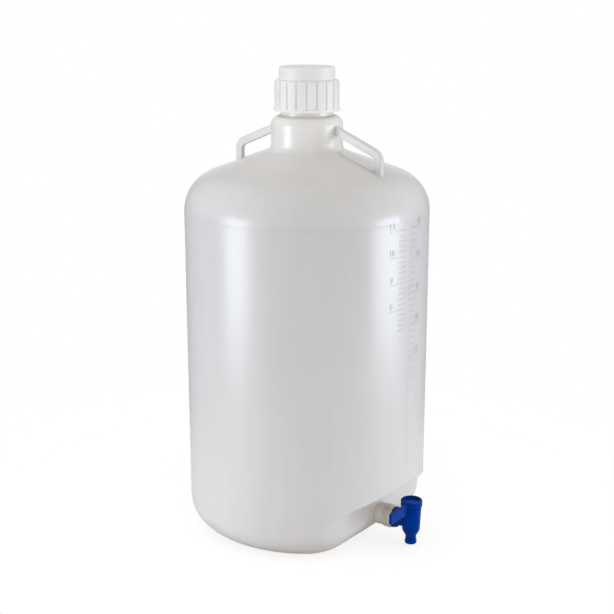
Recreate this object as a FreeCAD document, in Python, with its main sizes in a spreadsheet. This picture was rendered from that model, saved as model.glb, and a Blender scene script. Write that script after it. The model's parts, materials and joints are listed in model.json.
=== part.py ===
import FreeCAD
import Part
import Sketcher
import os
import re

# Driving sizes in millimetres, with angles in degrees. The bottle stands on the origin, its axis is
# +Z, and the tap looks along -Y. Distances "out" are measured from the bottle's axis along -Y.
SIZES = {
    # Blow-moulded bottle
    "body_radius": 177.0,
    "wall": 3.2,
    "base_round": 40.0,
    "dish_radius": 80.0,
    "dish_slope_width": 15.0,
    "dish_height": 5.0,
    "shoulder_height": 515.5,
    "shoulder_round": 58.0,
    "dome_rise": 45.5,
    "neck_foot_round": 11.0,
    "neck_radius": 51.4,
    "neck_top_round": 13.0,
    "neck_length": 48.5,
    "finish_radius": 37.2,
    "mouth_radius": 32.0,
    "finish_length": 61.0,
    # Recess for the tap
    "recess_depth": 43.0,
    "recess_round": 75.0,
    "recess_ledge_height": 88.5,
    "recess_ledge_slope": 27.0,
    "recess_cut_margin": 20.0,
    # Handles
    "handle_reach": 129.5,
    "handle_bar": 12.0,
    "handle_thickness": 8.5,
    "handle_edge_round": 2.5,
    "handle_root_rise": 36.0,
    "handle_bend_rise": 4.0,
    "handle_outer_bend": 18.0,
    "handle_inner_bend": 7.0,
    "handle_sink": 12.0,
    # Outlet boss and gasket
    "outlet_height": 34.5,
    "boss_radius": 16.0,
    "boss_sink": 8.0,
    "boss_length": 26.0,
    "boss_edge": 1.2,
    "moulded_gap": 0.05,
    "gasket_radius": 15.3,
    "gasket_thickness": 3.0,
    "gasket_edge": 0.8,
    # Tap body
    "barrel_reach": 28.0,
    "tail_radius": 12.0,
    "tail_length": 28.0,
    "tail_gap": 0.1,
    "tail_end_round": 1.0,
    "inlet_radius": 6.0,
    "flange_radius": 14.2,
    "flange_thickness": 3.5,
    "flange_edge": 0.8,
    "stub_radius": 10.5,
    "barrel_rise": 25.5,
    "barrel_top_radius": 14.6,
    "barrel_foot_radius": 12.8,
    "barrel_drop": 21.0,
    "barrel_cone_height": 9.0,
    "barrel_foot_round": 6.0,
    "nozzle_radius": 7.9,
    "nozzle_end_height": 1.5,
    "barb_radius": 8.6,
    "barb_length": 5.0,
    "barb_round": 1.5,
    "nozzle_bore_radius": 5.5,
    # Tap plug with its head and lever
    "plug_radius": 10.0,
    "plug_gap": 0.05,
    "plug_drop": 12.0,
    "plug_bore_rise": 8.5,
    "window_radius": 4.5,
    "head_gap": 0.3,
    "head_radius": 15.7,
    "head_height": 8.7,
    "head_round": 1.6,
    "cup_depth": 3.5,
    "cup_rim": 2.8,
    "cup_round": 1.0,
    "lever_reach": 57.0,
    "lever_thickness": 5.0,
    "lever_step": 2.5,
    "lever_depth": 16.5,
    "lever_edge_round": 1.2,
    "lever_tip_round": 3.0,
    "barrel_gap": 0.5,
    # Seal rings on the plug
    "ring_cord": 2.4,
    "ring_gap": 0.05,
    "ring_groove_width": 3.0,
    "upper_ring_rise": 14.5,
    "lower_ring_drop": 9.0,
    # Screw cap and its liner
    "crown_radius": 40.0,
    "crown_thickness": 4.0,
    "crown_round": 2.2,
    "crown_wall": 2.2,
    "cap_seat_gap": 0.05,
    "skirt_radius": 46.2,
    "crown_band": 18.0,
    "skirt_round": 4.0,
    "cap_ledge_gap": 6.1,
    "skirt_bore_radius": 41.2,
    "bore_step_drop": 7.0,
    "flare_radius": 47.4,
    "flare_height": 4.0,
    "flare_edge": 0.8,
    "rib_count": 20.0,
    "groove_width": 3.4,
    "groove_depth": 1.7,
    "liner_thickness": 2.4,
    "liner_gap": 0.3,
}

# Places that follow from the sizes, so that each piece keeps its seat when a size changes
PLACES = {
    "neck_foot_height": "shoulder_height + dome_rise",
    "neck_ledge_height": "neck_foot_height + neck_length",
    "mouth_height": "neck_ledge_height + finish_length",
    "handle_root_height": "neck_foot_height + handle_root_rise",
    "handle_bend_height": "neck_foot_height + handle_bend_rise",
    "recess_out": "body_radius - recess_depth",
    "boss_front_out": "recess_out + boss_length",
    "tap_out": "boss_front_out + barrel_reach",
    "barrel_top_height": "outlet_height + barrel_rise",
    "barrel_foot_height": "outlet_height - barrel_drop",
    "plug_foot_height": "outlet_height - plug_drop",
    "plug_bore_top": "outlet_height + plug_bore_rise",
    "head_top_height": "barrel_top_height + head_gap + head_height",
    "lever_top_height": "head_top_height - lever_step",
    "upper_ring_height": "outlet_height + upper_ring_rise",
    "lower_ring_height": "outlet_height - lower_ring_drop",
    "crown_height": "mouth_height + 2 * cap_seat_gap + liner_thickness + crown_thickness",
    "skirt_top_height": "crown_height - crown_band",
    "skirt_bottom_height": "neck_ledge_height + cap_ledge_gap",
    "bore_step_height": "skirt_top_height - bore_step_drop",
}

SAME_POINT = 1e-6
NEAR = 0.01

doc = FreeCAD.newDocument("carboy")
sheet = doc.addObject("Spreadsheet::Sheet", "Sizes")
cells = {alias: str(size) for alias, size in SIZES.items()}
cells.update({alias: "=" + formula for alias, formula in PLACES.items()})
for row, (alias, content) in enumerate(cells.items(), start=1):
    sheet.set(f"A{row}", alias)
    sheet.setAlias(f"B{row}", alias)
    sheet.set(f"B{row}", content)
doc.recompute()


def bound(formula):
    """Make a formula in the sheet's words into an expression that reads the sheet."""
    return re.sub(r"[a-z_]+", lambda word: "Sizes." * (word.group() in cells) + word.group(), formula)


def number(formula):
    return float(sheet.evalExpression(bound(formula)))


def fix(sketch, kind, reference, formula):
    """Add a dimension to a sketch and bind it to the sheet."""
    index = sketch.addConstraint(Sketcher.Constraint(kind, *reference, number(formula)))
    sketch.setExpression(f"Constraints[{index}]", bound(formula))


def fix_point(sketch, point, across, up):
    """Hold a point of a sketch at its two distances from the sketch's origin."""
    origin = (-1, 1)
    axes = {"DistanceX": (across, -2), "DistanceY": (up, -1)}
    for kind, (formula, axis) in axes.items():
        if formula == "0":
            sketch.addConstraint(Sketcher.Constraint("PointOnObject", *point, axis))
        elif number(formula) < 0:
            fix(sketch, kind, point + origin, f"-({formula})")
        else:
            fix(sketch, kind, origin + point, formula)


def new_sketch(body, name, role):
    sketch = body.newObject("Sketcher::SketchObject", name)
    plane = next(item for item in body.Origin.OriginFeatures if item.Role == role)
    sketch.AttachmentSupport = (plane, "")
    sketch.MapMode = "FlatFace"
    return sketch


def outline(body, name, role, corners):
    """Draw a closed outline on an origin plane; each corner is (across, up, rounding or None)."""
    sketch = new_sketch(body, name, role)
    points = [FreeCAD.Vector(number(across), number(up), 0) for across, up, _ in corners]
    arrive = list(points)
    leave = list(points)
    middles = {}
    for i, point in enumerate(points):
        if corners[i][2] is None:
            continue
        radius = number(corners[i][2])
        back = (points[i - 1] - point).normalize()
        ahead = (points[(i + 1) % len(points)] - point).normalize()
        bisector = (back + ahead).normalize()
        sine = back.cross(bisector).Length
        cosine = back.dot(bisector)
        reach = radius * cosine / sine
        arrive[i] = point + back * reach
        leave[i] = point + ahead * reach
        middles[i] = point + bisector * (radius / sine - radius)
    lines = []
    for i in range(len(points)):
        following = (i + 1) % len(points)
        lines.append(sketch.addGeometry(Part.LineSegment(leave[i], arrive[following])))
    for i, (across, up, rounding) in enumerate(corners):
        before = (lines[i - 1], 2)
        after = (lines[i], 1)
        if rounding is None:
            sketch.addConstraint(Sketcher.Constraint("Coincident", *before, *after))
            fix_point(sketch, after, across, up)
            continue
        arc = sketch.addGeometry(Part.Arc(arrive[i], middles[i], leave[i]))
        starts_here = sketch.getPoint(arc, 1).distanceToPoint(arrive[i]) < SAME_POINT
        first, last = (1, 2) if starts_here else (2, 1)
        sketch.addConstraint(Sketcher.Constraint("Tangent", *before, arc, first))
        sketch.addConstraint(Sketcher.Constraint("Tangent", arc, last, *after))
        fix(sketch, "Radius", (arc,), rounding)
        corner = sketch.addGeometry(Part.Point(points[i]), True)
        sketch.addConstraint(Sketcher.Constraint("PointOnObject", corner, 1, lines[i - 1]))
        sketch.addConstraint(Sketcher.Constraint("PointOnObject", corner, 1, lines[i]))
        fix_point(sketch, (corner, 1), across, up)
    return sketch


def new_body(name):
    return doc.addObject("PartDesign::Body", name)


def turned(name, corners):
    """Turn a half section, given as (radius, height, rounding), about the body's own Z axis."""
    body = new_body(name)
    sketch = outline(body, name + "_section", "XZ_Plane", corners)
    turn = body.newObject("PartDesign::Revolution", name + "_turn")
    turn.Profile = sketch
    turn.ReferenceAxis = (sketch, ["V_Axis"])
    turn.Angle = 360
    doc.recompute()
    return body


def placed(item, out, height, along_outlet=False):
    """Put a piece at its distance out from the bottle's axis; its own Z may point along the outlet."""
    if along_outlet:
        item.Placement = FreeCAD.Placement(FreeCAD.Vector(), FreeCAD.Rotation(FreeCAD.Vector(1, 0, 0), 90))
    item.setExpression("Placement.Base.y", bound(f"-({out})"))
    item.setExpression("Placement.Base.z", bound(height))
    doc.recompute()
    return item


def boolean(kind, name, base, tool):
    result = doc.addObject("Part::" + kind, name)
    result.Base = base
    result.Tool = tool
    doc.recompute()
    return result


def rounded(body, name, radius, chosen):
    """Round the edges of a body that the test picks."""
    tip = body.Tip
    edges = [f"Edge{i}" for i, edge in enumerate(tip.Shape.Edges, start=1) if chosen(edge)]
    fillet = body.newObject("PartDesign::Fillet", name)
    fillet.Base = (tip, edges)
    fillet.setExpression("Radius", bound(radius))
    doc.recompute()
    return fillet


def block(name, role, corners, length):
    """A straight bar of the given outline, centred on the plane it is drawn on."""
    body = new_body(name)
    pad = body.newObject("PartDesign::Pad", name + "_pad")
    pad.Profile = outline(body, name + "_outline", role, corners)
    pad.Midplane = True
    pad.setExpression("Length", bound(length))
    doc.recompute()
    return body


def vessel(name, inset, finish, mouth):
    """The bottle's skin as a solid, set in by the given distance: the outside, or the space inside."""
    rise = "(neck_foot_height - shoulder_height)"
    run = "(body_radius - neck_radius)"
    drop = f"{inset} * (hypot({rise}; {run}) - {rise}) / {run}"
    body_side = f"(body_radius - {inset})"
    neck_side = f"neck_radius - {inset}"
    ledge = f"neck_ledge_height - {inset}"
    dish = f"dish_height + {inset}"
    skin = turned(name + "_skin", [
        ("0", dish, None),
        ("dish_radius - dish_slope_width", dish, None),
        ("dish_radius", inset, None),
        (body_side, inset, None),
        (body_side, f"shoulder_height - {drop}", f"shoulder_round - {inset}"),
        (neck_side, f"neck_foot_height - {drop}", f"neck_foot_round + {inset}"),
        (neck_side, ledge, f"neck_top_round - {inset}"),
        (finish, ledge, None),
        (finish, mouth, None),
        ("0", mouth, None),
    ])

    # The recess is flat at the back, has a sloping roof and runs out into the body in two large rounds
    flat = f"(recess_out - {inset})"
    back = "(recess_out - recess_round)"
    far = "(body_radius + recess_cut_margin)"
    roof_at_body = f"recess_ledge_height + {inset} / cos(recess_ledge_slope)"
    roof = block(name + "_recess_side", "YZ_Plane", [
        (f"-{back}", "-recess_cut_margin", None),
        (f"-{back}", f"{roof_at_body} - (body_radius - {back}) * tan(recess_ledge_slope)", None),
        (f"-{far}", f"{roof_at_body} + recess_cut_margin * tan(recess_ledge_slope)", None),
        (f"-{far}", "-recess_cut_margin", None),
    ], f"4 * {far}")
    run_out_cosine = "((recess_out - recess_round) / (body_radius - recess_round))"
    run_out_sine = f"sqrt(1 - {run_out_cosine} ^ 2)"
    corner_x = f"({body_side} - {flat} * {run_out_cosine}) / {run_out_sine}"
    clear_x = f"{body_side} / {run_out_sine}"
    sides = block(name + "_recess_plan", "XY_Plane", [
        (f"-({corner_x})", f"-{flat}", f"recess_round - {inset}"),
        (corner_x, f"-{flat}", f"recess_round - {inset}"),
        (clear_x, "0", None),
        (clear_x, f"-{far}", None),
        (f"-({clear_x})", f"-{far}", None),
        (f"-({clear_x})", "0", None),
    ], "2 * shoulder_height")
    recess = boolean("Common", name + "_recess", roof, sides)
    sharp = boolean("Cut", name + "_sharp", skin, recess)
    floor = number(inset)
    radius = number(f"base_round - {inset}")

    def on_foot(edge):
        box = edge.BoundBox
        on_floor = box.ZLength < NEAR and abs(box.ZMin - floor) < NEAR
        return on_floor and abs(getattr(edge.Curve, "Radius", 0) - number("dish_radius")) > NEAR

    foot = doc.addObject("Part::Fillet", name)
    foot.Base = sharp
    foot.Edges = [(i, radius, radius) for i, edge in enumerate(sharp.Shape.Edges, start=1) if on_foot(edge)]
    doc.recompute()
    return foot


def flat_bar(name, role, corners, thickness, edge_round):
    """A flat bar cut to an outline, centred on the plane it is drawn on, with its long edges rounded."""
    body = block(name, role, corners, thickness)
    across = {"YZ_Plane": "XLength", "XZ_Plane": "YLength"}[role]
    rounded(body, name + "_round", edge_round, lambda edge: getattr(edge.BoundBox, across) < NEAR)
    return body


def rod(name, radius, length):
    cylinder = doc.addObject("Part::Cylinder", name)
    cylinder.setExpression("Radius", bound(radius))
    cylinder.setExpression("Height", bound(length))
    return cylinder


# Bottle: one hollow moulding with two carrying handles in the plane of the tap
bottle_outside = vessel("bottle_outside", "0", "finish_radius", "mouth_height")
bottle_inside = vessel("bottle_inside", "wall", "mouth_radius", "mouth_height + wall")

arm_slope = "((handle_root_height - handle_bend_height) / (handle_reach - neck_radius))"
arm_depth = f"handle_bar * hypot(1; {arm_slope})"
arm_end = f"handle_root_height + handle_sink * {arm_slope}"
shoulder_slope = "(neck_foot_height - shoulder_height) / (body_radius - neck_radius)"
leg_end = f"shoulder_height + (body_radius - handle_reach) * {shoulder_slope} - handle_sink"
rear_handle = flat_bar("rear_handle", "YZ_Plane", [
    ("neck_radius - handle_sink", arm_end, None),
    ("handle_reach", "handle_bend_height", "handle_outer_bend"),
    ("handle_reach", leg_end, None),
    ("handle_reach - handle_bar", leg_end, None),
    (
        "handle_reach - handle_bar",
        f"handle_bend_height + handle_bar * {arm_slope} - {arm_depth}",
        "handle_inner_bend",
    ),
    ("neck_radius - handle_sink", f"{arm_end} - {arm_depth}", None),
], "handle_thickness", "handle_edge_round")
front_handle = doc.addObject("Part::Mirroring", "front_handle")
front_handle.Source = rear_handle
front_handle.Normal = (0, 1, 0)
doc.recompute()

boss_back = "recess_out - wall - boss_sink"
boss_hole = rod("boss_hole", "boss_radius + moulded_gap", "boss_sink + wall + recess_cut_margin")
placed(boss_hole, boss_back, "outlet_height", along_outlet=True)
solid_bottle = doc.addObject("Part::MultiFuse", "solid_bottle")
solid_bottle.Shapes = [bottle_outside, rear_handle, front_handle]
doc.recompute()
hollow_bottle = boolean("Cut", "hollow_bottle", solid_bottle, bottle_inside)
bottle = boolean("Cut", "bottle", hollow_bottle, boss_hole)

# Outlet boss: a threaded sleeve moulded into the wall of the recess, with the gasket on its front
boss_bore = "tail_radius + tail_gap"
outlet_boss = turned("outlet_boss", [
    (boss_bore, boss_back, None),
    ("boss_radius", boss_back, None),
    ("boss_radius", "boss_front_out", "boss_edge"),
    (boss_bore, "boss_front_out", None),
])
placed(outlet_boss, "0", "outlet_height", along_outlet=True)

gasket_front = "boss_front_out + gasket_thickness"
tap_gasket = turned("tap_gasket", [
    (boss_bore, "boss_front_out", None),
    ("gasket_radius", "boss_front_out", "gasket_edge"),
    ("gasket_radius", gasket_front, "gasket_edge"),
    (boss_bore, gasket_front, None),
])
placed(tap_gasket, "0", "outlet_height", along_outlet=True)

# Tap body: upright barrel with a hose nozzle below, and the inlet with its flange and threaded tail
barb_top = "nozzle_end_height + barb_length"
tap_barrel = turned("tap_barrel", [
    ("0", "nozzle_end_height", None),
    ("barb_radius", "nozzle_end_height", "barb_round"),
    ("barb_radius", barb_top, None),
    ("nozzle_radius", f"{barb_top} + barb_round", None),
    ("nozzle_radius", "barrel_foot_height", None),
    ("barrel_foot_radius", "barrel_foot_height + barrel_cone_height", "barrel_foot_round"),
    ("barrel_top_radius", "barrel_top_height", None),
    ("0", "barrel_top_height", None),
])
placed(tap_barrel, "tap_out", "0")

tail_start = f"{gasket_front} - tail_length"
flange_front = f"{gasket_front} + flange_thickness"
tap_inlet = turned("tap_inlet", [
    ("0", tail_start, None),
    ("tail_radius", tail_start, "tail_end_round"),
    ("tail_radius", gasket_front, None),
    ("flange_radius", gasket_front, None),
    ("flange_radius", flange_front, "flange_edge"),
    ("stub_radius", flange_front, None),
    ("stub_radius", "tap_out", None),
    ("0", "tap_out", None),
])
placed(tap_inlet, "0", "outlet_height", along_outlet=True)

seat_floor = "plug_foot_height - head_gap"
seat_bore = "plug_radius + plug_gap"
plug_seat = turned("plug_seat", [
    ("0", "0", None),
    ("nozzle_bore_radius", "0", None),
    ("nozzle_bore_radius", seat_floor, None),
    (seat_bore, seat_floor, None),
    (seat_bore, "barrel_top_height + head_gap", None),
    ("0", "barrel_top_height + head_gap", None),
])
placed(plug_seat, "tap_out", "0")
inlet_bore = rod("inlet_bore", "inlet_radius", f"tap_out - ({tail_start}) + tail_end_round")
placed(inlet_bore, f"{tail_start} - tail_end_round", "outlet_height", along_outlet=True)
tap_solid = boolean("Fuse", "tap_solid", tap_barrel, tap_inlet)
tap_waterway = boolean("Fuse", "tap_waterway", plug_seat, inlet_bore)
tap_body = boolean("Cut", "tap_body", tap_solid, tap_waterway)

# Tap plug: hollow from below, with a side window, a cupped head on top and a flat lever
groove_floor = f"{seat_bore} - 2 * ring_gap - ring_cord"
head_bottom = "barrel_top_height + head_gap"
cup_floor = "head_top_height - cup_depth"
cup_radius = "head_radius - cup_rim"


def ring_groove(height):
    return [
        ("plug_radius", f"{height} - ring_groove_width / 2", None),
        (groove_floor, f"{height} - ring_groove_width / 2", None),
        (groove_floor, f"{height} + ring_groove_width / 2", None),
        ("plug_radius", f"{height} + ring_groove_width / 2", None),
    ]


plug_core = turned("plug_core", [
    ("nozzle_bore_radius", "plug_foot_height", None),
    ("plug_radius", "plug_foot_height", None),
    *ring_groove("lower_ring_height"),
    *ring_groove("upper_ring_height"),
    ("plug_radius", head_bottom, None),
    ("head_radius", head_bottom, None),
    ("head_radius", "head_top_height", "head_round"),
    (cup_radius, "head_top_height", None),
    (cup_radius, cup_floor, "cup_round"),
    ("0", cup_floor, None),
    ("0", "plug_bore_top", None),
    ("nozzle_bore_radius", "plug_bore_top", None),
])
placed(plug_core, "tap_out", "0")
lever_bottom = "lever_top_height - lever_depth"
lever = flat_bar("lever", "XZ_Plane", [
    ("-(head_radius - cup_rim / 2)", "lever_top_height", None),
    ("-(head_radius - cup_rim / 2)", head_bottom, None),
    ("-(barrel_top_radius + barrel_gap)", head_bottom, None),
    ("-(barrel_top_radius + barrel_gap)", lever_bottom, None),
    ("-lever_reach", lever_bottom, "lever_tip_round"),
    ("-lever_reach", "lever_top_height", "lever_tip_round"),
], "lever_thickness", "lever_edge_round")
placed(lever, "tap_out", "0")
window = rod("window", "window_radius", "plug_radius + plug_gap")
window.Placement.Rotation = FreeCAD.Rotation(FreeCAD.Vector(0, 1, 0), 90)
placed(window, "tap_out", "outlet_height")
plug_solid = boolean("Fuse", "plug_solid", plug_core, lever)
tap_plug = boolean("Cut", "tap_plug", plug_solid, window)


def seal_ring(name, height):
    """A round seal ring that sits in its groove on the plug and just clears the barrel."""
    ring = doc.addObject("Part::Torus", name)
    ring.setExpression("Radius1", bound(f"{seat_bore} - ring_gap - ring_cord / 2"))
    ring.setExpression("Radius2", bound("ring_cord / 2"))
    return placed(ring, "tap_out", height)


upper_ring = seal_ring("plug_seal_upper", "upper_ring_height")
lower_ring = seal_ring("plug_seal_lower", "lower_ring_height")

# Screw cap: plain crown, ribbed skirt with a flared lower edge, and the liner under the crown
liner_bottom = "mouth_height + cap_seat_gap"
liner_top = f"{liner_bottom} + liner_thickness"
ceiling = f"{liner_top} + cap_seat_gap"
crown_bore = "crown_radius - crown_wall"
flare_top = "skirt_bottom_height + flare_height"
screw_cap = turned("screw_cap", [
    ("skirt_bore_radius", "skirt_bottom_height", None),
    ("flare_radius", "skirt_bottom_height", "flare_edge"),
    ("flare_radius", flare_top, "flare_edge"),
    ("skirt_radius", flare_top, None),
    ("skirt_radius", "skirt_top_height", "skirt_round"),
    ("crown_radius", "skirt_top_height", None),
    ("crown_radius", "crown_height", "crown_round"),
    ("0", "crown_height", None),
    ("0", ceiling, None),
    (crown_bore, ceiling, None),
    (crown_bore, "bore_step_height", None),
    ("skirt_bore_radius", "bore_step_height", None),
])
groove_shape = outline(screw_cap, "groove_shape", "XY_Plane", [
    ("skirt_radius - groove_depth", "-groove_width / 4", None),
    ("skirt_radius + groove_depth", "-groove_width * 3 / 4", None),
    ("skirt_radius + groove_depth", "groove_width * 3 / 4", None),
    ("skirt_radius - groove_depth", "groove_width / 4", None),
])
groove_shape.setExpression("AttachmentOffset.Base.z", bound(flare_top))
plain_cap = screw_cap.Shape.Volume
groove = screw_cap.newObject("PartDesign::Pocket", "groove")
groove.Profile = groove_shape
groove.Reversed = True
groove.setExpression("Length", bound(f"skirt_top_height - ({flare_top}) + groove_depth"))
doc.recompute()
assert screw_cap.Shape.Volume < plain_cap, "the groove cut nothing"
grooves = screw_cap.newObject("PartDesign::PolarPattern", "grooves")
grooves.Originals = [groove]
grooves.Axis = (groove_shape, ["N_Axis"])
grooves.Angle = 360
grooves.setExpression("Occurrences", bound("rib_count"))
screw_cap.Tip = grooves
doc.recompute()

cap_liner = turned("cap_liner", [
    ("0", liner_bottom, None),
    (f"{crown_bore} - liner_gap", liner_bottom, None),
    (f"{crown_bore} - liner_gap", liner_top, None),
    ("0", liner_top, None),
])

nodes = [
    bottle,
    outlet_boss,
    tap_gasket,
    tap_body,
    tap_plug,
    upper_ring,
    lower_ring,
    screw_cap,
    cap_liner,
]
doc.recompute()
faulty = [item.Label for item in doc.Objects if {"Invalid", "Error"} & set(item.State)]
assert not faulty, f"objects that failed: {faulty}"
for node in nodes:
    assert not node.Shape.isNull() and node.Shape.isValid(), f"{node.Label} has no valid shape"
os.makedirs("parts", exist_ok=True)
for node in nodes:
    node.Shape.exportStep(f"parts/{node.Label}.step")
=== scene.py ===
import json
import math

import bpy
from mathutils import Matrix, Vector

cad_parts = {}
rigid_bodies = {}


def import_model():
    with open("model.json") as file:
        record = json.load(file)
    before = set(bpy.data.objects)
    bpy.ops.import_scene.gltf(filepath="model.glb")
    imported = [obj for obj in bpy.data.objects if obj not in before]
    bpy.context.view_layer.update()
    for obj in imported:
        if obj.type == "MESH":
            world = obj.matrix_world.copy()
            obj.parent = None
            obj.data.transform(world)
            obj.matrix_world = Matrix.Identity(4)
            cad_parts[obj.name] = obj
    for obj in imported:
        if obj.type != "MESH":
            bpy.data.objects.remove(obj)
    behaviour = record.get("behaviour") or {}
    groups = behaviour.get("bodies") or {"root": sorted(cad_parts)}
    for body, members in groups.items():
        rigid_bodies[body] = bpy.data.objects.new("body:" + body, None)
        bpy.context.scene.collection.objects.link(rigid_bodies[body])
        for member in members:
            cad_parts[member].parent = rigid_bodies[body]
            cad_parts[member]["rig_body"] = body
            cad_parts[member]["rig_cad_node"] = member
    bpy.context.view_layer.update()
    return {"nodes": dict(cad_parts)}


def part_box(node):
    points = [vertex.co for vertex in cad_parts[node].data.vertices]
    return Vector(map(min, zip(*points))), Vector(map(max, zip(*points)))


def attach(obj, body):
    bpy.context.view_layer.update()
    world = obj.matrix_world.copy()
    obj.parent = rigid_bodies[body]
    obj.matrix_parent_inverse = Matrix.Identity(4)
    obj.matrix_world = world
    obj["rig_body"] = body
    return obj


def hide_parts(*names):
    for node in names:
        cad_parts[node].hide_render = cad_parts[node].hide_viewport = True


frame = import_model()

# The set: a pale floor in a white room, two soft lamps beside the bottle, weaker ones above and behind
# it and a small warm one for the recess at its foot. The camera is that of the photograph: it stands to
# the left of the tap, a little above the cap, and looks down on the bottle.
TURN = math.radians(53.5)
CAMERA_DISTANCE = 1.74538
CAMERA_HEIGHT = 0.790338
CAMERA_PITCH = math.radians(14.871)
FOCAL_PIXELS = 1220.84
IMAGE_SIDE = 614
SENSOR = 36.0
view_ahead = Vector((math.sin(TURN), math.cos(TURN), 0))
view_right = Vector((math.cos(TURN), -math.sin(TURN), 0))

bpy.ops.object.select_all(action="DESELECT")
camera_place = -CAMERA_DISTANCE * view_ahead + Vector((0, 0, CAMERA_HEIGHT))
bpy.ops.object.camera_add(location=camera_place, rotation=(math.pi / 2 - CAMERA_PITCH, 0, -TURN))
camera = bpy.context.object
camera.data.sensor_width = SENSOR
camera.data.lens = FOCAL_PIXELS / IMAGE_SIDE * SENSOR
bpy.context.scene.camera = camera
bpy.context.scene.view_settings.view_transform = "Standard"

DAYLIGHT = (0.84, 0.91, 1.03)
HIGHEST_AIM = 0.5


def soft_lamp(name, right, ahead, height, width, tall, power, colour=DAYLIGHT, aim=None):
    """A rectangular lamp, placed as seen from the camera and turned to the bottle's axis or to its aim."""
    place = right * view_right + ahead * view_ahead + Vector((0, 0, height))
    if aim is None:
        aim = Vector((0, 0, min(height, HIGHEST_AIM)))
    facing = (aim - place).to_track_quat("-Z", "Y").to_euler()
    bpy.ops.object.light_add(type="AREA", location=place, rotation=facing)
    lamp = bpy.context.object
    lamp.name = name
    lamp.visible_camera = False
    lamp.data.shape = "RECTANGLE"
    lamp.data.size = width
    lamp.data.size_y = tall
    lamp.data.energy = power
    lamp.data.color = colour
    return lamp


soft_lamp("left_softbox", right=-1.36, ahead=-0.68, height=0.31, width=0.66, tall=0.82, power=11.2)
soft_lamp("right_softbox", right=1.48, ahead=-0.38, height=0.28, width=0.82, tall=0.76, power=12.1)
soft_lamp("top_softbox", right=-0.6, ahead=0.35, height=2.0, width=2.0, tall=2.0, power=3.3)
soft_lamp("back_softbox", right=0.0, ahead=1.7, height=0.5, width=1.4, tall=1.1, power=2.0)

# The warm card stands for the light that comes through the milky wall into the recess. Its narrow beam
# falls beside the boss and leaves the tap alone.
WARM_LIGHT = (1.0, 0.86, 0.70)
BESIDE_BOSS = Vector((-0.03, -0.134, 0.032))
CARD_BEAM = math.radians(26)
foot_card = soft_lamp(
    "foot_card", right=0.162, ahead=-0.369, height=0.05, width=0.03, tall=0.03, power=0.0022,
    colour=WARM_LIGHT, aim=BESIDE_BOSS,
)
foot_card.data.spread = CARD_BEAM
foot_card.visible_glossy = False

# The floor takes the shadow round the foot and fades into the room further out. The camera sees it
# lifted by a glow, so that it stays as white as the room, and it is clear when seen from below.
FLOOR_SOLID = 0.3
FLOOR_END = 0.75
FLOOR_GAP = 0.0003
FLOOR_CORNERS = 96
FLOOR_COLOUR = (0.68, 0.645, 0.61, 1)
FLOOR_ROUGHNESS = 0.8
FLOOR_SHINE = 0.2
FLOOR_GLOW = 1.31
FLOOR_GLOW_SHARE = 0.6


def add_node(tree, kind, **values):
    """A node with its settings; a value named after an input socket goes into that socket."""
    made = tree.nodes.new("ShaderNode" + kind)
    for key, value in values.items():
        if key in made.inputs:
            made.inputs[key].default_value = value
        else:
            setattr(made, key, value)
    return made


def floor_paint_material():
    """Matt paint with a glow for the camera, clear far from the middle and on its back."""
    material = bpy.data.materials.new("floor_paint")
    material.use_nodes = True
    tree = material.node_tree
    painted = tree.nodes["Principled BSDF"]
    painted.inputs["Base Color"].default_value = FLOOR_COLOUR
    painted.inputs["Roughness"].default_value = FLOOR_ROUGHNESS
    painted.inputs["Specular IOR Level"].default_value = FLOOR_SHINE
    spot = add_node(tree, "TexCoord")
    from_middle = add_node(tree, "VectorMath", operation="LENGTH")
    fade = add_node(tree, "MapRange", interpolation_type="SMOOTHSTEP")
    fade.inputs["From Min"].default_value = FLOOR_SOLID
    fade.inputs["From Max"].default_value = FLOOR_END
    side = add_node(tree, "NewGeometry")
    see_through = add_node(tree, "Math", operation="MAXIMUM")
    clear = add_node(tree, "BsdfTransparent")
    glow = add_node(tree, "Emission", Strength=FLOOR_GLOW)
    rays = add_node(tree, "LightPath")
    glow_share = add_node(tree, "Math", operation="MULTIPLY")
    glow_share.inputs[1].default_value = FLOOR_GLOW_SHARE
    lifting = add_node(tree, "MixShader")
    fading = add_node(tree, "MixShader")
    join = tree.links.new
    join(spot.outputs["Object"], from_middle.inputs[0])
    join(from_middle.outputs["Value"], fade.inputs["Value"])
    join(rays.outputs["Is Camera Ray"], glow_share.inputs[0])
    join(glow_share.outputs[0], lifting.inputs[0])
    join(painted.outputs[0], lifting.inputs[1])
    join(glow.outputs[0], lifting.inputs[2])
    join(fade.outputs[0], see_through.inputs[0])
    join(side.outputs["Backfacing"], see_through.inputs[1])
    join(see_through.outputs[0], fading.inputs[0])
    join(lifting.outputs[0], fading.inputs[1])
    join(clear.outputs[0], fading.inputs[2])
    join(fading.outputs[0], tree.nodes["Material Output"].inputs["Surface"])
    return material


bpy.ops.mesh.primitive_circle_add(
    vertices=FLOOR_CORNERS, radius=FLOOR_END, fill_type="NGON", location=(0, 0, -FLOOR_GAP)
)
floor = bpy.context.object
floor.name = "floor"
floor.data.materials.append(floor_paint_material())

# The room is white to the camera. On the bottle it shines a warm, dim light, weaker from below and from
# behind, and its mirror image holds a bright card straight behind the bottle.
ROOM_DIM = 0.17
ROOM_BRIGHT = 0.75
DIM_UP_TO = -1.0
BRIGHT_FROM = 0.5
UPWARD_SHARE = 2.5
CARD_EDGE = 0.95
CARD_FULL_FROM = 0.99
CARD_SHARE = 0.65
ROOM_WARMTH = (1, 0.968, 0.928, 1)
ROOM_WHITE = (1, 1, 1, 1)


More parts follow.
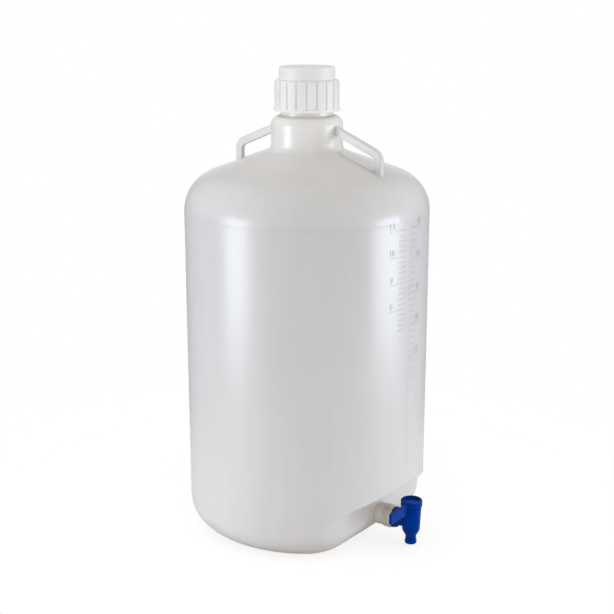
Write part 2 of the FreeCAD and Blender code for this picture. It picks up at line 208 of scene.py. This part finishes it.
def white_room():
    """A world with its strength and its tint worked out from the direction and the kind of ray."""
    world = bpy.data.worlds.new("white_room")
    world.use_nodes = True
    tree = world.node_tree
    tree.nodes.clear()
    rays = add_node(tree, "LightPath")
    seen = add_node(tree, "Math", operation="MAXIMUM")
    look = add_node(tree, "TexCoord")
    upward = add_node(tree, "VectorMath", operation="DOT_PRODUCT")
    upward.inputs[1].default_value = Vector((0, 0, UPWARD_SHARE)) - view_ahead
    falloff = add_node(tree, "MapRange", **{"From Min": DIM_UP_TO, "From Max": BRIGHT_FROM})
    falloff.inputs["To Min"].default_value = ROOM_DIM
    falloff.inputs["To Max"].default_value = ROOM_BRIGHT
    behind = add_node(tree, "VectorMath", operation="DOT_PRODUCT")
    behind.inputs[1].default_value = view_ahead
    card = add_node(tree, "MapRange", **{"From Min": CARD_EDGE, "From Max": CARD_FULL_FROM})
    card.inputs["To Max"].default_value = CARD_SHARE
    mirrored = add_node(tree, "Math", operation="MULTIPLY")
    shown = add_node(tree, "Math", operation="MAXIMUM")
    strength = add_node(tree, "Mix", data_type="FLOAT", B=1.0)
    tint = add_node(tree, "Mix", data_type="RGBA", A=ROOM_WARMTH, B=ROOM_WHITE)
    backdrop = add_node(tree, "Background")
    output = add_node(tree, "OutputWorld")
    join = tree.links.new
    join(rays.outputs["Is Camera Ray"], seen.inputs[0])
    join(rays.outputs["Is Transmission Ray"], seen.inputs[1])
    join(look.outputs["Generated"], upward.inputs[0])
    join(upward.outputs["Value"], falloff.inputs["Value"])
    join(falloff.outputs[0], strength.inputs["A"])
    join(look.outputs["Generated"], behind.inputs[0])
    join(behind.outputs["Value"], card.inputs["Value"])
    join(card.outputs[0], mirrored.inputs[0])
    join(rays.outputs["Is Glossy Ray"], mirrored.inputs[1])
    join(seen.outputs[0], shown.inputs[0])
    join(mirrored.outputs[0], shown.inputs[1])
    join(shown.outputs[0], strength.inputs["Factor"])
    join(shown.outputs[0], tint.inputs["Factor"])
    join(strength.outputs[0], backdrop.inputs["Strength"])
    join(tint.outputs["Result"], backdrop.inputs["Color"])
    join(backdrop.outputs[0], output.inputs[0])
    return world


bpy.context.scene.world = white_room()

# Bottle: one hollow blow moulding of natural, milky polypropylene with its two handles. The copy of
# the solid is shaded smooth, and the skin has the faint flow marks and the orange peel of the mould.
# The wall is thinner at the neck. The neck and the top of the dome are painted a lighter colour there:
# painted light for the light through the thin wall, which also lifts the shade under the cap. The bars
# of the handles are solid, and they are painted a darker colour: painted shade.
MERGE_DISTANCE = 2e-5
BODY_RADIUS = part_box("bottle")[1].x
SHOULDER_HEIGHT = 0.5155
NECK_RADIUS = 0.0514
NECK_FOOT_END = 0.063
NECK_FOOT_TOP = 0.575
# Between these heights the wall's colour turns into the lighter, painted light of the neck.
NECK_LIGHT_FROM = 0.53
NECK_LIGHT_TO = 0.61
DOME_RISE = 0.0455
DOME_SLOPE = math.atan2(DOME_RISE, BODY_RADIUS - NECK_RADIUS)
HANDLE_HALF_WIDTH = 0.0045
HANDLE_CLEAR = 0.002
FLOW_STRETCH = (9.0, 9.0, 0.7)
BUMP_DEPTH = 0.0004
POLYPROPYLENE_IOR = 1.49


def shade_evenly(piece, crease):
    """Smooth shading that keeps edges sharper than the crease, with flat faces kept flat."""
    bpy.ops.mesh.customdata_custom_splitnormals_clear()
    bpy.ops.object.shade_smooth_by_angle(angle=math.radians(crease))
    even = piece.modifiers.new("even_shading", "WEIGHTED_NORMAL")
    even.keep_sharp = True
    bpy.ops.object.modifier_apply(modifier=even.name)


def moulded_copy(node, name, crease):
    """A smooth-shaded copy of a solid that stands for it; edges sharper than the crease stay sharp."""
    bpy.ops.object.select_all(action="DESELECT")
    solid = frame["nodes"][node]
    solid.select_set(True)
    bpy.context.view_layer.objects.active = solid
    bpy.ops.object.duplicate()
    copy = bpy.context.object
    copy.name = name
    copy.data.name = name
    copy.parent = None
    del copy["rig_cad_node"]
    copy.data.materials.clear()
    bpy.ops.object.mode_set(mode="EDIT")
    bpy.ops.mesh.select_all(action="SELECT")
    bpy.ops.mesh.remove_doubles(threshold=MERGE_DISTANCE)
    bpy.ops.object.mode_set(mode="OBJECT")
    shade_evenly(copy, crease)
    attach(copy, frame["nodes"][node]["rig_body"])
    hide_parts(node)
    return copy


def moulded_skin_group():
    """Shared by all mouldings: cloudy mottling, drawn-out flow marks and a fine grain on the surface."""
    group = bpy.data.node_groups.new("moulded_skin", "ShaderNodeTree")
    sockets = group.interface
    for socket in ("Cloud Scale", "Flow", "Grain Scale"):
        sockets.new_socket(socket, in_out="INPUT", socket_type="NodeSocketFloat")
    for socket in ("Mottle", "Speckle", "Height"):
        sockets.new_socket(socket, in_out="OUTPUT", socket_type="NodeSocketFloat")
    given = group.nodes.new("NodeGroupInput")
    given_out = group.nodes.new("NodeGroupOutput")
    place = add_node(group, "TexCoord")
    cloud = add_node(group, "TexNoise", Detail=4.0, Roughness=0.55)
    drawn = add_node(group, "Mapping", Scale=FLOW_STRETCH)
    marks = add_node(group, "TexNoise", Scale=4.0, Detail=3.0, Roughness=0.6)
    mix = add_node(group, "Mix", data_type="FLOAT")
    grain = add_node(group, "TexNoise", Detail=2.0)
    orange_peel = add_node(group, "TexNoise", Scale=240.0, Detail=1.0)
    height = add_node(group, "Mix", data_type="FLOAT", Factor=0.35)
    join = group.links.new
    join(place.outputs["Object"], cloud.inputs["Vector"])
    join(given.outputs["Cloud Scale"], cloud.inputs["Scale"])
    join(place.outputs["Object"], drawn.inputs["Vector"])
    join(drawn.outputs["Vector"], marks.inputs["Vector"])
    join(given.outputs["Flow"], mix.inputs["Factor"])
    join(cloud.outputs["Fac"], mix.inputs["A"])
    join(marks.outputs["Fac"], mix.inputs["B"])
    join(place.outputs["Object"], grain.inputs["Vector"])
    join(given.outputs["Grain Scale"], grain.inputs["Scale"])
    join(place.outputs["Object"], orange_peel.inputs["Vector"])
    join(orange_peel.outputs["Fac"], height.inputs["A"])
    join(grain.outputs["Fac"], height.inputs["B"])
    join(mix.outputs[0], given_out.inputs["Mottle"])
    join(grain.outputs["Fac"], given_out.inputs["Speckle"])
    join(height.outputs[0], given_out.inputs["Height"])
    return group


moulded_skin = moulded_skin_group()


def moulded_plastic(name, shade, light, gloss, bump, skin, **shader_values):
    """A plastic whose colour and gloss wander between two values over the moulded skin."""
    material = bpy.data.materials.new(name)
    material.use_nodes = True
    tree = material.node_tree
    shader = tree.nodes["Principled BSDF"]
    for socket, value in shader_values.items():
        shader.inputs[socket].default_value = value
    surface = add_node(tree, "Group", node_tree=moulded_skin)
    for socket, value in skin.items():
        surface.inputs[socket].default_value = value
    colour = add_node(tree, "Mix", data_type="RGBA", A=(*shade, 1), B=(*light, 1))
    spread = add_node(tree, "MapRange", **{"From Min": 0.3, "From Max": 0.7})
    roughness = add_node(tree, "MapRange", **{"To Min": gloss[0], "To Max": gloss[1]})
    relief = add_node(tree, "Bump", Strength=bump, Distance=BUMP_DEPTH)
    join = tree.links.new
    join(surface.outputs["Mottle"], spread.inputs["Value"])
    join(spread.outputs[0], colour.inputs["Factor"])
    join(colour.outputs["Result"], shader.inputs["Base Color"])
    join(surface.outputs["Speckle"], roughness.inputs["Value"])
    join(roughness.outputs[0], shader.inputs["Roughness"])
    join(surface.outputs["Height"], relief.inputs["Height"])
    join(relief.outputs["Normal"], shader.inputs["Normal"])
    return material


def milky(weight, depth):
    """Shader values of a plastic that light enters by this share, to about this depth in metres."""
    return {"Subsurface Weight": weight, "Subsurface Scale": depth, "Subsurface Radius": (1, 1, 1)}


def thin_at_neck(material, neck_painted_light):
    """Painted light on the neck: the colour of the wall turns into a lighter one with the height, for the
    light through the thin neck and against the shade under the cap.
    """
    tree = material.node_tree
    shader = tree.nodes["Principled BSDF"]
    wall_colour = shader.inputs["Base Color"].links[0].from_socket
    place = add_node(tree, "TexCoord")
    height = add_node(tree, "SeparateXYZ")
    share = add_node(tree, "MapRange", **{"From Min": NECK_LIGHT_FROM, "From Max": NECK_LIGHT_TO})
    colour = add_node(tree, "Mix", data_type="RGBA", B=(*neck_painted_light, 1))
    join = tree.links.new
    join(place.outputs["Object"], height.inputs[0])
    join(height.outputs["Z"], share.inputs["Value"])
    join(share.outputs[0], colour.inputs["Factor"])
    join(wall_colour, colour.inputs["A"])
    join(colour.outputs["Result"], shader.inputs["Base Color"])


def on_handle(spot):
    """True on the solid bars of the handles, which stand clear of the dome and of the foot of the neck,
    where the painted shade of the handles goes.
    """
    out = abs(spot.y)
    under = SHOULDER_HEIGHT + (BODY_RADIUS - out) * math.tan(DOME_SLOPE) + HANDLE_CLEAR
    if out < NECK_FOOT_END:
        under = NECK_FOOT_TOP
    return abs(spot.x) < HANDLE_HALF_WIDTH and out > NECK_RADIUS + HANDLE_CLEAR / 2 and spot.z > under


bottle_skin = {"Cloud Scale": 7.0, "Flow": 0.55, "Grain Scale": 700.0}
milky_plastic = moulded_plastic(
    "milky_plastic", shade=(0.71, 0.70, 0.69), light=(0.75, 0.745, 0.74), gloss=(0.25, 0.32), bump=0.08,
    skin=bottle_skin, **milky(weight=0.3, depth=0.02), **{"Specular IOR Level": 0.65},
)
# The neck and the top of the dome are painted lighter: painted light.
thin_at_neck(milky_plastic, neck_painted_light=(0.94, 0.915, 0.865))
# The handles' plastic is painted darker than the wall's: painted shade.
shaded_handle_plastic = moulded_plastic(
    "shaded_handle_plastic", shade=(0.62, 0.62, 0.62), light=(0.67, 0.67, 0.67), gloss=(0.26, 0.34), bump=0.08,
    skin=bottle_skin, **milky(weight=0.3, depth=0.02), IOR=POLYPROPYLENE_IOR,
)
bottle = moulded_copy("bottle", "bottle_shell", crease=32)
bottle.data.materials.append(milky_plastic)
bottle.data.materials.append(shaded_handle_plastic)
# The faces of the handles take the darker plastic: painted shade.
for face in bottle.data.polygons:
    face.material_index = int(on_handle(face.center))

# Graduations: plain raised ticks and numbers on both sides of the parting seam above the tap, in two
# scales, cut into the mould and so of the bottle's own plastic. The seam itself is a fine raised line,
# also at the back of the bottle, where the halves of the mould meet again.
MARK_SUNK = 0.00005
MARK_RADIUS = BODY_RADIUS - MARK_SUNK
MARK_PROUD = 0.0005
MARK_LINE = 0.0012
MARK_BENDS = 12
NUMBER_SIZE = 0.0125
NUMBER_LIFT = 3 * MARK_LINE
SCALE_TOP = 0.466
TICKS_A_STEP = 5
SEAM_SUNK = 0.0004
SEAM_HALF_WIDTH = 0.0004
SEAM_FOOT = 0.1
SEAM_TOP = 0.474
flat_marks = []


def flat_mark(left, right, low, high):
    """A flat strip, laid out as on an unrolled bottle: across from the seam, and height."""
    bpy.ops.mesh.primitive_grid_add(x_subdivisions=MARK_BENDS, y_subdivisions=1, size=1)
    strip = bpy.context.object
    strip.scale = (right - left, high - low, 1)
    strip.location = ((left + right) / 2, (low + high) / 2, 0)
    flat_marks.append(strip)


def flat_number(number, middle, foot):
    """A plain number, laid out in the same way."""
    bpy.ops.object.text_add(location=(middle, foot, 0))
    label = bpy.context.object
    label.data.body = str(number)
    label.data.size = NUMBER_SIZE
    label.data.align_x = "CENTER"
    bpy.ops.object.convert(target="MESH")
    flat_marks.append(bpy.context.object)


def scale_marks(step, count, first, numbered_by, long_side, short_side, number_middle):
    """One scale from the top down: a long tick with a number above it, and short ticks between."""
    for i in range(count * TICKS_A_STEP):
        height = SCALE_TOP - i * step / TICKS_A_STEP
        sides = short_side if i % TICKS_A_STEP else long_side
        flat_mark(*sides, height, height + MARK_LINE)
        if i % TICKS_A_STEP == 0:
            flat_number(first - i // TICKS_A_STEP * numbered_by, number_middle, height + NUMBER_LIFT)


def join_pieces(pieces, name):
    """One object made of several, with its place in its mesh."""
    bpy.ops.object.select_all(action="DESELECT")
    for piece in pieces:
        piece.select_set(True)
    bpy.context.view_layer.objects.active = pieces[0]
    bpy.ops.object.join()
    joined = bpy.context.object
    joined.name = name
    bpy.ops.object.transform_apply(location=True, rotation=True, scale=True)
    return joined


scale_marks(
    step=0.0372, count=4, first=11, numbered_by=1,
    long_side=(-0.043, -0.013), short_side=(-0.026, -0.011), number_middle=-0.040,
)
scale_marks(
    step=0.046, count=5, first=45, numbered_by=5,
    long_side=(0.004, 0.030), short_side=(0.004, 0.016), number_middle=0.023,
)
for seam_place in (0.0, math.pi * MARK_RADIUS):
    flat_mark(seam_place - SEAM_HALF_WIDTH, seam_place + SEAM_HALF_WIDTH, SEAM_FOOT, SEAM_TOP)
    flat_marks[-1].location.z = -SEAM_SUNK
graduations = join_pieces(flat_marks, "graduations_and_seam")
for vertex in graduations.data.vertices:
    angle = vertex.co.x / MARK_RADIUS
    out = MARK_RADIUS + vertex.co.z
    vertex.co = (out * math.sin(angle), -out * math.cos(angle), vertex.co.y)
raise_marks = graduations.modifiers.new("raise_marks", "SOLIDIFY")
raise_marks.thickness = MARK_PROUD
raise_marks.offset = 1
bpy.ops.object.modifier_apply(modifier=raise_marks.name)
graduations.data.materials.append(milky_plastic)
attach(graduations, "bottle")

# Mould lines: a fine ring where the shoulder's insert of the mould meets its sides, the lip round the
# roof of the tap recess, and the pinched ridges that the closing mould leaves under both handles. All
# are raised in the bottle's own plastic.
RING_HEIGHT = 0.4755
RING_PROUD = 0.0002
RECESS_TOP = 0.0885
RECESS_SLOPE = math.radians(27)
RECESS_SPREAD = math.radians(50)
LIP_RADIUS = 0.0007
RIDGE_OUT = 0.086
RIDGE_HEIGHT = 0.5489
RIDGE_SIZE = (0.0055, 0.064, 0.0036)
RIDGE_ROUND = 0.0014
bpy.ops.mesh.primitive_torus_add(
    major_radius=MARK_RADIUS, minor_radius=RING_PROUD, major_segments=160, minor_segments=6,
    location=(0, 0, RING_HEIGHT),
)
line_pieces = [bpy.context.object]
bpy.ops.mesh.primitive_circle_add(vertices=240, radius=BODY_RADIUS)
lip = bpy.context.object
bpy.ops.object.mode_set(mode="EDIT")
bpy.ops.mesh.select_all(action="DESELECT")
bpy.ops.object.mode_set(mode="OBJECT")
for vertex in lip.data.vertices:
    vertex.co.z = RECESS_TOP - (BODY_RADIUS + vertex.co.y) * math.tan(RECESS_SLOPE)
    vertex.select = -vertex.co.y < BODY_RADIUS * math.cos(RECESS_SPREAD)
bpy.ops.object.mode_set(mode="EDIT")
bpy.ops.mesh.delete(type="VERT")
bpy.ops.object.mode_set(mode="OBJECT")
bpy.ops.object.convert(target="CURVE")
lip.data.bevel_depth = LIP_RADIUS
lip.data.use_fill_caps = True
bpy.ops.object.convert(target="MESH")
line_pieces.append(bpy.context.object)
for side in (-1, 1):
    ridge_place = (0, side * RIDGE_OUT, RIDGE_HEIGHT)
    bpy.ops.mesh.primitive_cube_add(size=1, location=ridge_place, rotation=(-side * DOME_SLOPE, 0, 0))
    ridge = bpy.context.object
    ridge.scale = RIDGE_SIZE
    bpy.ops.object.transform_apply(location=True, rotation=True, scale=True)
    soften = ridge.modifiers.new("soften", "BEVEL")
    soften.width = RIDGE_ROUND
    soften.segments = 4
    bpy.ops.object.modifier_apply(modifier=soften.name)
    line_pieces.append(ridge)
mould_lines = join_pieces(line_pieces, "mould_lines")
bpy.ops.object.shade_smooth_by_angle(angle=math.radians(40))
mould_lines.data.materials.append(milky_plastic)
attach(mould_lines, "bottle")

# Neck thread: a screw thread on the finish of the bottle, under the cap. It is blown with the bottle and
# of the same milky plastic, and the thread in the cap has the same pitch.
CAP_PITCH = 0.006
CAP_THREAD_TURNS = 4
CAP_THREAD_WIDTH = 0.0032
STEPS_A_TURN = 72


def screw_thread(name, root, crest, start, pitch, turns, width):
    """A screw thread about Z: a trapezoid between the root and crest radii, swept up by the pitch."""
    bpy.ops.mesh.primitive_plane_add(size=1)
    ridge = bpy.context.object
    ridge.name = name
    half_root = width / 2
    half_crest = width / 5
    section = (
        (root, start - half_root), (root, start + half_root),
        (crest, start - half_crest), (crest, start + half_crest),
    )
    for vertex, (across, height) in zip(ridge.data.vertices, section):
        vertex.co = (across, 0, height)
    bpy.ops.object.mode_set(mode="EDIT")
    bpy.ops.mesh.select_all(action="SELECT")
    bpy.ops.mesh.delete(type="ONLY_FACE")
    bpy.ops.object.mode_set(mode="OBJECT")
    sweep = ridge.modifiers.new("sweep", "SCREW")
    sweep.screw_offset = pitch
    sweep.iterations = turns
    sweep.steps = STEPS_A_TURN
    sweep.render_steps = STEPS_A_TURN
    bpy.ops.object.modifier_apply(modifier=sweep.name)
    bpy.ops.object.mode_set(mode="EDIT")
    bpy.ops.mesh.select_all(action="SELECT")
    bpy.ops.mesh.remove_doubles(threshold=MERGE_DISTANCE)
    bpy.ops.mesh.fill_holes(sides=4)
    bpy.ops.mesh.normals_make_consistent(inside=False)
    bpy.ops.object.mode_set(mode="OBJECT")
    bpy.ops.object.shade_smooth_by_angle(angle=math.radians(30))
    return ridge


neck_thread = screw_thread(
    "neck_thread", root=0.0370, crest=0.0389, start=0.6235,
    pitch=CAP_PITCH, turns=CAP_THREAD_TURNS, width=CAP_THREAD_WIDTH,
)
neck_thread.data.materials.append(milky_plastic)
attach(neck_thread, "bottle")

# Outlet boss: a thick threaded sleeve that carries the tap, moulded into the wall of the recess. It is
# of the bottle's plastic, greyer because it is thicker, and its outer rim is painted as pale as the
# bottle: a painted highlight where the rim catches the light.
boss_low, boss_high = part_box("outlet_boss")
OUTLET_HEIGHT = (boss_low.z + boss_high.z) / 2
BOSS_HIGHLIGHT_WIDTH = 0.0028
BOSS_HIGHLIGHT_FROM = -boss_low.y - BOSS_HIGHLIGHT_WIDTH
boss_skin = {"Cloud Scale": 60.0, "Flow": 0.2, "Grain Scale": 1500.0}
thick_plastic = moulded_plastic(
    "thick_plastic", shade=(0.58, 0.545, 0.51), light=(0.72, 0.69, 0.65), gloss=(0.25, 0.35), bump=0.2,
    skin=boss_skin, **milky(weight=0.25, depth=0.006), IOR=POLYPROPYLENE_IOR,
)
boss = moulded_copy("outlet_boss", "boss_sleeve", crease=30)
bpy.ops.object.mode_set(mode="EDIT")
bpy.ops.mesh.select_all(action="SELECT")
bpy.ops.mesh.bisect(plane_co=(0, -BOSS_HIGHLIGHT_FROM, 0), plane_no=(0, 1, 0))
bpy.ops.object.mode_set(mode="OBJECT")
shade_evenly(boss, crease=30)
# The outer end of the sleeve takes the bottle's paler plastic: a painted highlight on the rim.
boss.data.materials.append(thick_plastic)
boss.data.materials.append(milky_plastic)
for face in boss.data.polygons:
    face.material_index = int(-face.center.y > BOSS_HIGHLIGHT_FROM)
boss_thread = screw_thread(
    "boss_thread", root=0.0158, crest=0.0171, start=0.1455, pitch=0.0038, turns=3, width=0.0022
)
boss_thread.rotation_euler = (math.pi / 2, 0, 0)
boss_thread.location = (0, 0, OUTLET_HEIGHT)
bpy.ops.object.transform_apply(location=True, rotation=True, scale=True)
boss_thread.data.materials.append(thick_plastic)
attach(boss_thread, "bottle")

# Gasket: a flat washer of black rubber, cut from sheet and squeezed between the end of the boss and
# the flange of the tap, where it keeps the joint tight.
rubber_skin = {"Cloud Scale": 120.0, "Flow": 0.0, "Grain Scale": 2500.0}
black_rubber = moulded_plastic(
    "black_rubber", shade=(0.008, 0.008, 0.008), light=(0.022, 0.022, 0.022), gloss=(0.5, 0.7), bump=0.3,
    skin=rubber_skin,
)
gasket = moulded_copy("tap_gasket", "tap_washer", crease=30)
gasket.data.materials.append(black_rubber)

# Tap body: an upright barrel, its inlet and its hose nozzle in one injection moulding of glossy blue
# plastic, screwed into the boss by its tail. The upper rim of the barrel has a small chamfer.
barrel_low, barrel_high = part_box("tap_body")
BARREL_TOP = barrel_high.z
BARREL_RADIUS = barrel_high.x
TAP_OUT = -barrel_low.y - BARREL_RADIUS
RIM_CHAMFER = 0.002
tap_skin = {"Cloud Scale": 90.0, "Flow": 0.3, "Grain Scale": 2000.0}
blue_plastic = moulded_plastic(
    "blue_plastic", shade=(0.0002, 0.026, 0.20), light=(0.0004, 0.042, 0.31), gloss=(0.12, 0.18), bump=0.12,
    skin=tap_skin, **{"Specular IOR Level": 0.12, "Specular Tint": (0, 0.3, 1, 1)},
)
tap_body = moulded_copy("tap_body", "tap_barrel", crease=30)
bpy.ops.object.mode_set(mode="EDIT")
bpy.ops.mesh.select_all(action="SELECT")
bpy.ops.mesh.bisect(plane_co=(0, 0, BARREL_TOP - RIM_CHAMFER), plane_no=(0, 0, 1))
bpy.ops.object.mode_set(mode="OBJECT")
for vertex in tap_body.data.vertices:
    across = vertex.co + Vector((0, TAP_OUT, -vertex.co.z))
    if vertex.co.z > BARREL_TOP - MERGE_DISTANCE and across.length > BARREL_RADIUS - RIM_CHAMFER:
        vertex.co -= across.normalized() * RIM_CHAMFER
shade_evenly(tap_body, crease=30)
tap_body.data.materials.append(blue_plastic)

# Tap plug: the core that turns in the barrel, with its cupped head and flat lever in one moulding of the
# same blue plastic. It is pushed in from above and opens the way to the nozzle on a quarter turn.
tap_plug = moulded_copy("tap_plug", "tap_lever_and_plug", crease=30)
tap_plug.data.materials.append(blue_plastic)

# Plug seals: two round rings of black rubber, above and below the window of the plug, which sit in its
# grooves and turn with it.
for ring in ("plug_seal_upper", "plug_seal_lower"):
    seal = moulded_copy(ring, ring + "_ring", crease=40)
    seal.data.materials.append(black_rubber)

# Screw cap: a white injection moulding of polypropylene with a plain crown and a ribbed skirt, screwed
# down on the neck by the thread inside its skirt.
cap_skin = {"Cloud Scale": 40.0, "Flow": 0.1, "Grain Scale": 1800.0}
cap_white = moulded_plastic(
    "cap_white", shade=(0.83, 0.82, 0.81), light=(0.88, 0.87, 0.86), gloss=(0.42, 0.52), bump=0.12,
    skin=cap_skin, **milky(weight=0.15, depth=0.004), IOR=POLYPROPYLENE_IOR,
)
screw_cap = moulded_copy("screw_cap", "ribbed_cap", crease=25)
screw_cap.data.materials.append(cap_white)
cap_thread = screw_thread(
    "cap_thread", root=0.0414, crest=0.0394, start=0.6225,
    pitch=CAP_PITCH, turns=CAP_THREAD_TURNS, width=CAP_THREAD_WIDTH,
)
cap_thread.data.materials.append(cap_white)
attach(cap_thread, "screw_cap")

# Cap liner: a disc of white foamed plastic, punched from sheet and held under the crown of the cap,
# which presses it on the rim of the neck.
liner_foam = moulded_plastic(
    "liner_foam", shade=(0.72, 0.72, 0.70), light=(0.80, 0.80, 0.79), gloss=(0.6, 0.75), bump=0.5,
    skin=cap_skin,
)
cap_liner = moulded_copy("cap_liner", "foam_liner", crease=30)
cap_liner.data.materials.append(liner_foam)
